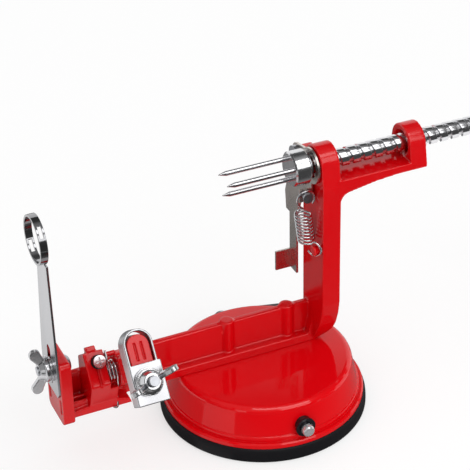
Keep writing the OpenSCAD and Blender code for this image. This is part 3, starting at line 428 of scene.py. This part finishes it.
# Outlines of the rubber pad as (radius, height): the ring under the dome, and the skin with the stud's boss
PAD_RING = ((46.3, 0), (56.3, 0), (56.75, 0.08), (57.15, 0.32), (57.4, 0.75), (57.5, 1.3), (57.5, 3.0), (57.42, 4.8),
            (57.25, 6.2), (57.0, 7.1), (56.65, 7.7), (56.2, 8.08), (55.7, 8.2), (44.3, 8.2), (43.85, 8.0),
            (42.15, 5.75), (42.0, 5.5), (44.0, 2.5), (45.9, 0.15), (46.3, 0))
PAD_SKIN = ((0, 2.5), (44.8, 2.5), (44.8, 5.5), (14.4, 5.5), (13.8, 5.75), (12.3, 8.5), (11.9, 8.8), (8.3, 8.8),
            (8.02, 8.5), (8.02, 6.4), (0, 6.4))
PAD_STEPS, PAD_ANGLE = 180, 40

# Cast and stamped pieces with rounded edges: grain of the new skin, and the most triangles that it keeps
SKINS = {"frame": (0.45, 150000), "peel_arm": (0.25, 90000), "core_wing_nut": (0.25, 30000),
         "peel_wing_nut": (0.25, 30000), "peel_blade": (0.2, 60000)}
# Smoothing: share of each pass, and passes for an edge of one grain
SOFT_SHARE, SOFT_PASSES = 0.5, 2.5
# Weight of broad faces in the shading, and the distance in metres under which points are merged
FLAT_WEIGHT, SAME_PLACE = 80, 2e-6

# Wire of both springs, the cuts between the points of its path, its roundness, and its sharpest smooth corner
WIRE_R, PATH_CUTS, WIRE_ROUND, WIRE_ANGLE = 0.6, 4, 4, 60
# Latch spring: its ring hangs on the rivet, its hook goes under the cast peg
RING_X, RING_Y, RING_TOP, RING_R = 25.4, -2.8, 129.5, 5.1
RING_START, RING_STEP, RING_POINTS = -400, 31, 10
# Its coils: steps in a turn and in all, then where they start, how far they drift, and how they open and drop
COIL_R, COIL_PITCH, COIL_TURN, COIL_STEPS = 4.4, 2.1, 8, 70
COIL_SHIFT, COIL_DRIFT, COIL_DROP = -2.1, 2.4, 1.9
COIL_START, COIL_OPENS, COIL_DROPS = 0.4, 4, 3
# Its hook, and the bend from the coils to the hook
HOOK_X, HOOK_Y, HOOK_LOW, HOOK_R = 27.4, -8.7, 92.15, 4.2
HOOK_TURN, HOOK_START, HOOK_STEP, HOOK_POINTS = 33, 110, 27.5, 9
TAIL_LEAVE, TAIL_ARRIVE, TAIL_CUTS = (7, 0, 0), 5, 5
# Points of the latch spring at the cast peg and at its ring, in metres
LATCH_PEG, LATCH_RING = (0.0278, -0.0080, 0.0980), (0.0254, -0.0028, 0.1215)
# Arm spring: leg from its foot under the apron, as (x from the first coil, y from the pin, z), coils, leaning leg
PIN_Y, PIN_Z = -6.0, 52.2
ARM_LEG = ((-2.8, -3.7, 30.8), (-1.2, -3.8, 30.1), (-0.1, -2.9, 31.2), (0, -2.0, 37.5), (0, -4.2, 44.2),
           (0, -5.2, 46.8), (0, -5.2, 49.5))
ARM_COIL_X, ARM_COIL_R, ARM_COIL_SWEEP, ARM_COIL_STEPS = (-88.45, -92.2), 5.2, 756, 17
ARM_LEAN, ARM_LEG_STEPS = 36, (5.5, 11.0)


def fresh():
    """Leaves edit mode and lets go of every object."""
    if bpy.context.object and bpy.context.object.mode != "OBJECT":
        bpy.ops.object.mode_set(mode="OBJECT")
    bpy.ops.object.select_all(action="DESELECT")


def take(obj):
    """Makes obj the one selected object."""
    fresh()
    obj.select_set(True)
    bpy.context.view_layer.objects.active = obj
    return obj


def settle(obj, name, node, angle=None, between=None):
    """Gives a finished piece its name and finish, and its body unless between is given, and lets it stand for its
    CAD node.
    """
    take(obj)
    obj.name = obj.data.name = name
    bpy.ops.object.transform_apply(location=True, rotation=True, scale=True)
    if angle:
        bpy.ops.object.shade_smooth_by_angle(angle=math.radians(angle))
    obj.data.materials.clear()
    obj.data.materials.append(finish_of(node))
    if between:
        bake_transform(obj)
    else:
        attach(obj, BODY_OF[node])
    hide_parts(node)
    return obj


def chain(points):
    """Open chain of edges through points, drawn by extruding one vertex; stays in edit mode."""
    fresh()
    bpy.ops.mesh.primitive_plane_add(size=MM, location=(0, 0, 0))
    bpy.ops.object.mode_set(mode="EDIT")
    bpy.ops.mesh.merge(type="CENTER")
    bpy.ops.transform.translate(value=points[0])
    for a, b in zip(points, points[1:]):
        step = Vector(b) - Vector(a)
        bpy.ops.mesh.extrude_region_move(TRANSFORM_OT_translate={"value": step})
    return bpy.context.object


def weld():
    """Merges doubles and turns the faces of the edited mesh outwards."""
    bpy.ops.mesh.select_all(action="SELECT")
    bpy.ops.mesh.remove_doubles(threshold=SAME_PLACE)
    bpy.ops.mesh.normals_make_consistent(inside=False)


def apply_all(obj):
    """Applies the modifiers of the selected object."""
    for modifier in list(obj.modifiers):
        bpy.ops.object.modifier_apply(modifier=modifier.name)


def thread(core, outer, pitch, ridge, x0, x1, crest):
    """Right-handed thread along X about the origin, closed at x0 and x1; a crest passes +Z at x = crest."""
    half, ease, foot = ridge / 2, CREST_EASE * MM, ROOT_EASE * MM
    bend = EASE_BEND * ease
    first = crest - pitch * math.ceil((crest - x0) / pitch + 1)
    outline = [(0, outer), (half - ease, outer), (half - bend, outer - bend), (half, outer - ease),
               (half + EASE_BEND * foot, core + foot), (half + foot, core)]
    outline += [(pitch - x, r) for x, r in reversed(outline)]
    rod = chain([(first + x, 0, r) for x, r in outline])
    bpy.ops.object.mode_set(mode="OBJECT")
    turn = rod.modifiers.new("turn", "SCREW")
    turn.axis = "X"
    turn.screw_offset = pitch
    turn.iterations = math.ceil((x1 - first) / pitch) + 1
    turn.steps = turn.render_steps = SCREW_STEPS
    apply_all(rod)
    bpy.ops.object.mode_set(mode="EDIT")
    weld()
    for x, side in ((x0, 1), (x1, -1)):
        bpy.ops.mesh.select_all(action="SELECT")
        bpy.ops.mesh.bisect(plane_co=(x, 0, 0), plane_no=(side, 0, 0), use_fill=True, clear_inner=True)
    weld()
    bpy.ops.object.mode_set(mode="OBJECT")
    return rod


def lathe(outline, steps):
    """Solid of revolution about X; the outline is (x, radius) from end to end, in millimetres."""
    solid = chain([(x * MM, 0, r * MM) for x, r in outline])
    bpy.ops.mesh.select_all(action="SELECT")
    bpy.ops.mesh.spin(steps=steps, angle=2 * math.pi, center=(0, 0, 0), axis=(1, 0, 0))
    weld()
    bpy.ops.object.mode_set(mode="OBJECT")
    return solid


def stub(a, b):
    """Plain end of the screw from a to b, with eased rims."""
    return lathe([(a, 0), (a, STUB_R - STUB_EASE), (a + STUB_EASE, STUB_R), (b - STUB_EASE, STUB_R),
                  (b, STUB_R - STUB_EASE), (b, 0)], SCREW_STEPS)


def mould(name, outline):
    """Round rubber piece of the pad, about Z."""
    piece = lathe([(z, r) for r, z in outline], PAD_STEPS)
    piece.rotation_euler.y = -math.pi / 2
    return settle(piece, name, "suction_pad", PAD_ANGLE)


def join(main, *others):
    """Joins pieces into main."""
    take(main)
    for other in others:
        other.select_set(True)
    bpy.ops.object.join()
    return main


def eased(points, cuts):
    """Smooth path through points."""
    path = []
    for i in range(len(points) - 1):
        a, b, c, d = (Vector(points[min(max(i + k, 0), len(points) - 1)]) for k in (-1, 0, 1, 2))
        for k in range(cuts):
            t = k / cuts
            path.append(0.5 * (2 * b + (c - a) * t + (2 * a - 5 * b + 4 * c - d) * t * t
                               + (3 * b - a - 3 * c + d) * t ** 3))
    return path + [Vector(points[-1])]


def wind(points, radius):
    """Round wire along a path, as a closed mesh."""
    fresh()
    line = bpy.data.curves.new("wire", "CURVE")
    line.dimensions = "3D"
    spline = line.splines.new("POLY")
    spline.points.add(len(points) - 1)
    for point, place in zip(spline.points, points):
        point.co = (*place, 1)
    line.bevel_depth = radius
    line.bevel_resolution = WIRE_ROUND
    line.use_fill_caps = True
    obj = bpy.data.objects.new("wire", line)
    bpy.context.scene.collection.objects.link(obj)
    take(obj)
    bpy.ops.object.convert(target="MESH")
    bpy.ops.object.mode_set(mode="EDIT")
    weld()
    bpy.ops.object.mode_set(mode="OBJECT")
    return bpy.context.object


def even(obj):
    """Keeps the shading of broad faces even up to their eased edges."""
    take(obj)
    flat = obj.modifiers.new("flat", "WEIGHTED_NORMAL")
    flat.keep_sharp = True
    flat.weight = FLAT_WEIGHT
    apply_all(obj)
    return obj


def round_edges(node, edge):
    """Copy of a CAD piece with the soft edges that casting or grinding leaves."""
    fresh()
    copy = NODES[node].copy()
    copy.data = NODES[node].data.copy()
    copy.parent = None
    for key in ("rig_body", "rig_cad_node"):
        del copy[key]
    bpy.context.scene.collection.objects.link(copy)
    take(copy)
    bpy.ops.mesh.customdata_custom_splitnormals_clear()
    bpy.ops.object.mode_set(mode="EDIT")
    bpy.ops.mesh.select_all(action="SELECT")
    bpy.ops.mesh.remove_doubles(threshold=SAME_PLACE)
    bpy.ops.object.mode_set(mode="OBJECT")
    grain, triangles = SKINS[node]
    skin = copy.modifiers.new("skin", "REMESH")
    skin.mode = "VOXEL"
    skin.voxel_size = grain * MM
    soft = copy.modifiers.new("soft", "SMOOTH")
    soft.factor = SOFT_SHARE
    soft.iterations = round(SOFT_PASSES * (edge / (grain * MM)) ** 2)
    apply_all(copy)
    thin = copy.modifiers.new("thin", "DECIMATE")
    thin.ratio = min(1.0, triangles / (2 * len(copy.data.polygons)))
    apply_all(copy)
    bpy.ops.object.shade_smooth()
    return even(copy)


def circle(radius, degrees):
    """Point on a circle about the origin."""
    return radius * math.cos(math.radians(degrees)), radius * math.sin(math.radians(degrees))


def tail(a, leave, b, arrive):
    """Points of a smooth bend from a to b; leave and arrive are its pulls at the ends."""
    points = []
    for i in range(1, TAIL_CUTS):
        s = i / TAIL_CUTS
        points.append((1 + 2 * s) * (1 - s) ** 2 * a + s * (1 - s) ** 2 * leave
                      + s * s * (3 - 2 * s) * b - s * s * (1 - s) * arrive)
    return points


def latch_spring_path():
    """Ring round the rivet, coils, then a hook round the cast peg."""
    path, hook = [], []
    z = RING_TOP - RING_R
    for i in range(RING_POINTS):
        side, rise = circle(RING_R, RING_START + RING_STEP * i)
        path.append((RING_X + side, RING_Y, z + rise))
    for i in range(COIL_STEPS + 1):
        side, out = circle(COIL_R * min(1, (i + COIL_START) / COIL_OPENS), 360 / COIL_TURN * i)
        path.append((RING_X + COIL_SHIFT + COIL_DRIFT * i / COIL_STEPS + side, RING_Y + out,
                     z - RING_R - COIL_PITCH * i / COIL_TURN - min(1, i / COIL_DROPS) * COIL_DROP))
    across, along = circle(1, HOOK_TURN)
    for i in range(HOOK_POINTS):
        side, rise = circle(HOOK_R, HOOK_START + HOOK_STEP * i)
        hook.append((HOOK_X - side * along, HOOK_Y + side * across, HOOK_LOW + HOOK_R + rise))
    start = Vector(hook[0])
    path += tail(Vector(path[-1]), Vector(TAIL_LEAVE), start, TAIL_ARRIVE * (Vector(hook[1]) - start).normalized())
    return path + hook


def arm_spring_path():
    """Leg up from the apron, coils round the pin, leg behind the arm's peg."""
    first, last = ARM_COIL_X
    path = [(first + x, PIN_Y + y, z) for x, y, z in ARM_LEG]
    for i in range(ARM_COIL_STEPS + 1):
        side, rise = circle(ARM_COIL_R, 180 - ARM_COIL_SWEEP * i / ARM_COIL_STEPS)
        path.append((first + (last - first) * i / ARM_COIL_STEPS, PIN_Y + side, PIN_Z + rise))
    end = Vector(path[-1])
    up, back = circle(1, ARM_LEAN)
    return path + [end + step * Vector((0, back, up)) for step in ARM_LEG_STEPS]


class PEELER_OT_castings(bpy.types.Operator):
    """Rounds the edges of the painted castings"""
    bl_idname = "peeler.castings"
    bl_label = "Castings"

    def execute(self, context):
        sizes = context.scene.peeler_sizes
        for node, edge in (("frame", sizes.edge), ("peel_arm", sizes.arm_edge)):
            settle(round_edges(node, edge), f"{node}_casting", node)
        return {"FINISHED"}


class PEELER_OT_nuts(bpy.types.Operator):
    """Rounds the cast wing nuts"""
    bl_idname = "peeler.nuts"
    bl_label = "Wing nuts"

    def execute(self, context):
        for node in ("core_wing_nut", "peel_wing_nut"):
            settle(round_edges(node, context.scene.peeler_sizes.nut_edge), f"{node}_cast", node)
        return {"FINISHED"}


class PEELER_OT_blade(bpy.types.Operator):
    """Rounds the rim of the peeling blade"""
    bl_idname = "peeler.blade"
    bl_label = "Peeling blade"

    def execute(self, context):
        piece = round_edges("peel_blade", context.scene.peeler_sizes.rim_edge)
        settle(piece, "peel_blade_strip", "peel_blade")
        return {"FINISHED"}


class PEELER_OT_pad(bpy.types.Operator):
    """Moulds the rubber ring under the dome and the skin that the stud pushes down"""
    bl_idname = "peeler.pad"
    bl_label = "Suction pad"

    def execute(self, context):
        mould("suction_pad_ring", PAD_RING)
        piece = mould("suction_pad_skin", PAD_SKIN)
        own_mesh(piece)
        return {"FINISHED"}


class PEELER_OT_screw(bpy.types.Operator):
    """Turns the square-thread feed screw"""
    bl_idname = "peeler.screw"
    bl_label = "Feed screw"

    def execute(self, context):
        rod = thread(**{key: value * MM for key, value in SCREW.items()})
        join(rod, *[stub(a, b) for a, b in SCREW_STUBS])
        rod.location.z = AXIS_Z * MM
        even(settle(rod, "feed_screw_thread", "feed_screw", SCREW_ANGLE))
        return {"FINISHED"}


class PEELER_OT_springs(bpy.types.Operator):
    """Winds the latch spring and the arm's torsion spring"""
    bl_idname = "peeler.springs"
    bl_label = "Springs"

    def execute(self, context):
        bend = ("stand", "latch", LATCH_PEG, LATCH_RING)
        for node, path, between in (("latch_spring", latch_spring_path(), bend),
                                    ("peel_spring", arm_spring_path(), None)):
            points = eased([Vector(point) * MM for point in path], PATH_CUTS)
            settle(wind(points, WIRE_R * MM), f"{node}_wire", node, WIRE_ANGLE, between)
        return {"FINISHED"}


# Stage: places and limits in metres

FLOOR_SIZE, FLOOR_Z = 12, -0.0002
# Soft borders on the floor that only mirror rays see: at the front and at the left
FRONT_BORDER, LEFT_BORDER = (-0.13, -0.055), (-0.150, -0.120)
# Pale wedge left of the dome: shares of x and y whose sum is measured, and its limits
WEDGE_FRONT = ((0.537, -0.843), (0.0148, 0.0168))
WEDGE_BACK = ((0.162, 0.987), (-0.0341, -0.0321))
# Bright floor at the right, under the screw
RIGHT_BORDER, UNDER_BORDER = (0.130, 0.140), (-0.160, -0.150)
# Room light: how much it grows to the right, to the front and upwards
ROOM_RIGHT, ROOM_FRONT, ROOM_UP = 0.3, 0.45, 0.4
# Backdrop in mirrors: white low behind the object, a dark gap over it, grey above and in front
WALL_LEFT, WALL_FRONT, WALL_UP = 0.125, 0.225, 0.5
WALL_STOPS = ((0.0, 1.0), (0.30, 1.0), (0.325, 0.06), (0.56, 0.08), (0.66, 0.34), (1.0, 0.34))
# Lamps: name, place, point looked at, width and height, setting of the power, and whether matte surfaces get light
LAMPS = (("key_light", (0.24, -0.80, 0.66), (-0.04, -0.02, 0.07), (0.60, 0.45), "key", True),
         ("side_light", (-0.72, -0.62, 0.16), (-0.02, -0.02, 0.06), (0.20, 0.50), "fill", True),
         ("top_strip", (0.05, -0.42, 0.92), (0, 0, 0.05), (0.90, 0.28), "top", False))
# Camera of the photograph: lens and sensor width in millimetres, clipping, place, and its own three directions
LENS, SENSOR, CLIP = 137.87, 36, (0.01, 100)
CAMERA_PLACE = (-0.33305, -0.73237, 0.61660)
CAMERA_RIGHT, CAMERA_UP = (0.91197, -0.40981, -0.01941), (0.23400, 0.48069, 0.84509)
CAMERA_BACK = (-0.33700, -0.77523, 0.53427)


def make_floor(colours, sizes):
    """White floor that keeps the shadow; mirror rays see it darker in places."""
    fresh()
    bpy.ops.mesh.primitive_plane_add(size=FLOOR_SIZE, location=(0, 0, FLOOR_Z))
    floor = bpy.context.object
    floor.name = "floor"
    pale = bpy.data.materials.new("pale_floor")
    pale.use_nodes = True
    pale.node_tree.nodes.clear()
    tree = NodeTree(pale.node_tree)
    seen, mirror = tree.seen()
    across, depth, _ = tree.axes("Object")
    behind = tree.slope(across, LEFT_BORDER, 1.0, sizes.back_dim)
    near = tree.slope(depth, FRONT_BORDER, sizes.front_dim, behind)
    (x, y), limits = WEDGE_FRONT
    front = tree.slope(x * across + y * depth, limits, sizes.side_tone, 0.0)
    (x, y), limits = WEDGE_BACK
    back = tree.slope(x * across + y * depth, limits, 1.0, 0.0)
    right = tree.slope(across, RIGHT_BORDER)
    under = tree.slope(depth, UNDER_BORDER)
    tone = 1 - mirror * (1 - (near | front * back | right * under))
    matte = tree.node("ShaderNodeBsdfDiffuse", {}, {"Color": (*colours.floor, 1)})
    tint = tree.mix(tone * sizes.floor_shade, (0, 0, 0), colours.floor)
    faint = tree.node("ShaderNodeBsdfDiffuse", {}, {"Color": tint})
    glow = tree.node("ShaderNodeEmission", {}, {"Strength": sizes.floor_glow * tone})
    lit = tree.node("ShaderNodeAddShader", {}, {0: faint, 1: glow})
    shown = tree.node("ShaderNodeMixShader", {}, {0: seen, 1: matte, 2: lit})
    tree.node("ShaderNodeOutputMaterial", {}, {"Surface": shown})
    floor.data.materials.append(pale)


def make_room(sizes):
    """Even light from all round, and the backdrop that the camera and mirrors see."""
    world = bpy.data.worlds.new("studio")
    world.use_nodes = True
    bpy.context.scene.world = world
    world.node_tree.nodes.clear()
    world.cycles.sampling_method = "NONE"
    tree = NodeTree(world.node_tree)
    across, depth, up = tree.axes("Generated")
    light = sizes.sky * (1 - ROOM_FRONT * depth + ROOM_UP * up + ROOM_RIGHT * across)
    room = tree.node("ShaderNodeBackground", {}, {"Strength": light})
    turned = WALL_UP * up + WALL_FRONT * (1 - depth) - WALL_LEFT * across
    wall = tree.node("ShaderNodeValToRGB", {"stops": WALL_STOPS}, {"Fac": turned})
    seen, mirror = tree.seen()
    backdrop = tree.node("ShaderNodeBackground", {}, {"Color": (1, 1, 1, 1), "Strength": 1 - mirror * (1 - wall)})
    shown = tree.node("ShaderNodeMixShader", {}, {0: seen, 1: room, 2: backdrop})
    tree.node("ShaderNodeOutputWorld", {}, {"Surface": shown})


def make_lamp(name, place, target, size, power, matte):
    """Rectangular soft light that looks at a point."""
    bpy.ops.object.light_add(type="AREA", location=place)
    lamp = bpy.context.object
    lamp.name = name
    lamp.data.shape = "RECTANGLE"
    lamp.data.size, lamp.data.size_y = size
    lamp.data.energy = power
    lamp.visible_camera = False
    lamp.visible_diffuse = matte
    lamp.rotation_euler = (Vector(target) - lamp.location).to_track_quat("-Z", "Y").to_euler()


def make_camera():
    """Camera at the photograph's place."""
    bpy.ops.object.camera_add()
    camera = bpy.context.object
    camera.name = "camera"
    camera.data.sensor_width, camera.data.lens = SENSOR, LENS
    camera.data.clip_start, camera.data.clip_end = CLIP
    turn = Matrix((CAMERA_RIGHT, CAMERA_UP, CAMERA_BACK)).transposed().to_4x4()
    camera.matrix_world = Matrix.Translation(CAMERA_PLACE) @ turn
    bpy.context.scene.camera = camera


class PEELER_OT_stage(bpy.types.Operator):
    """Makes the floor, the room light, the lamps and the camera"""
    bl_idname = "peeler.stage"
    bl_label = "Stage"

    def execute(self, context):
        scene = context.scene
        scene.view_settings.view_transform = "Standard"
        make_floor(scene.peeler_colours, scene.peeler_sizes)
        make_room(scene.peeler_sizes)
        for name, place, target, size, power, matte in LAMPS:
            make_lamp(name, place, target, size, getattr(scene.peeler_sizes, power), matte)
        make_camera()
        return {"FINISHED"}


class PEELER_OT_finishes(bpy.types.Operator):
    """Gives every CAD piece its finish"""
    bl_idname = "peeler.finishes"
    bl_label = "Finishes"

    def execute(self, context):
        make_finishes()
        for node, obj in NODES.items():
            obj.data.materials.clear()
            obj.data.materials.append(finish_of(node))
        return {"FINISHED"}


class PEELER_PT_panel(bpy.types.Panel):
    """Lists the steps and the settings"""
    bl_idname = "PEELER_PT_panel"
    bl_label = "Apple peeler"
    bl_space_type = "VIEW_3D"
    bl_region_type = "UI"
    bl_category = "Apple peeler"

    def draw(self, context):
        for step in STEPS:
            self.layout.operator(step.bl_idname)
        for group in (context.scene.peeler_colours, context.scene.peeler_sizes):
            for name in group.bl_rna.properties.keys():
                if name not in ("rna_type", "name"):
                    self.layout.prop(group, name)


STEPS = (PEELER_OT_stage, PEELER_OT_finishes, PEELER_OT_castings, PEELER_OT_nuts, PEELER_OT_blade, PEELER_OT_pad,
         PEELER_OT_screw, PEELER_OT_springs)
CLASSES = (PeelerColours, PeelerSizes, *STEPS, PEELER_PT_panel)


def register():
    """Registers the classes and puts their settings on the scene."""
    for cls in CLASSES:
        bpy.utils.register_class(cls)
    bpy.types.Scene.peeler_colours = bpy.props.PointerProperty(type=PeelerColours)
    bpy.types.Scene.peeler_sizes = bpy.props.PointerProperty(type=PeelerSizes)


def unregister():
    """Takes the settings and the classes away again."""
    del bpy.types.Scene.peeler_sizes
    del bpy.types.Scene.peeler_colours
    for cls in reversed(CLASSES):
        bpy.utils.unregister_class(cls)


def main():
    """Registers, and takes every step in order."""
    register()
    for step in STEPS:
        group, name = step.bl_idname.split(".")
        getattr(getattr(bpy.ops, group), name)()
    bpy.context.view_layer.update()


if __name__ == "__main__":
    main()
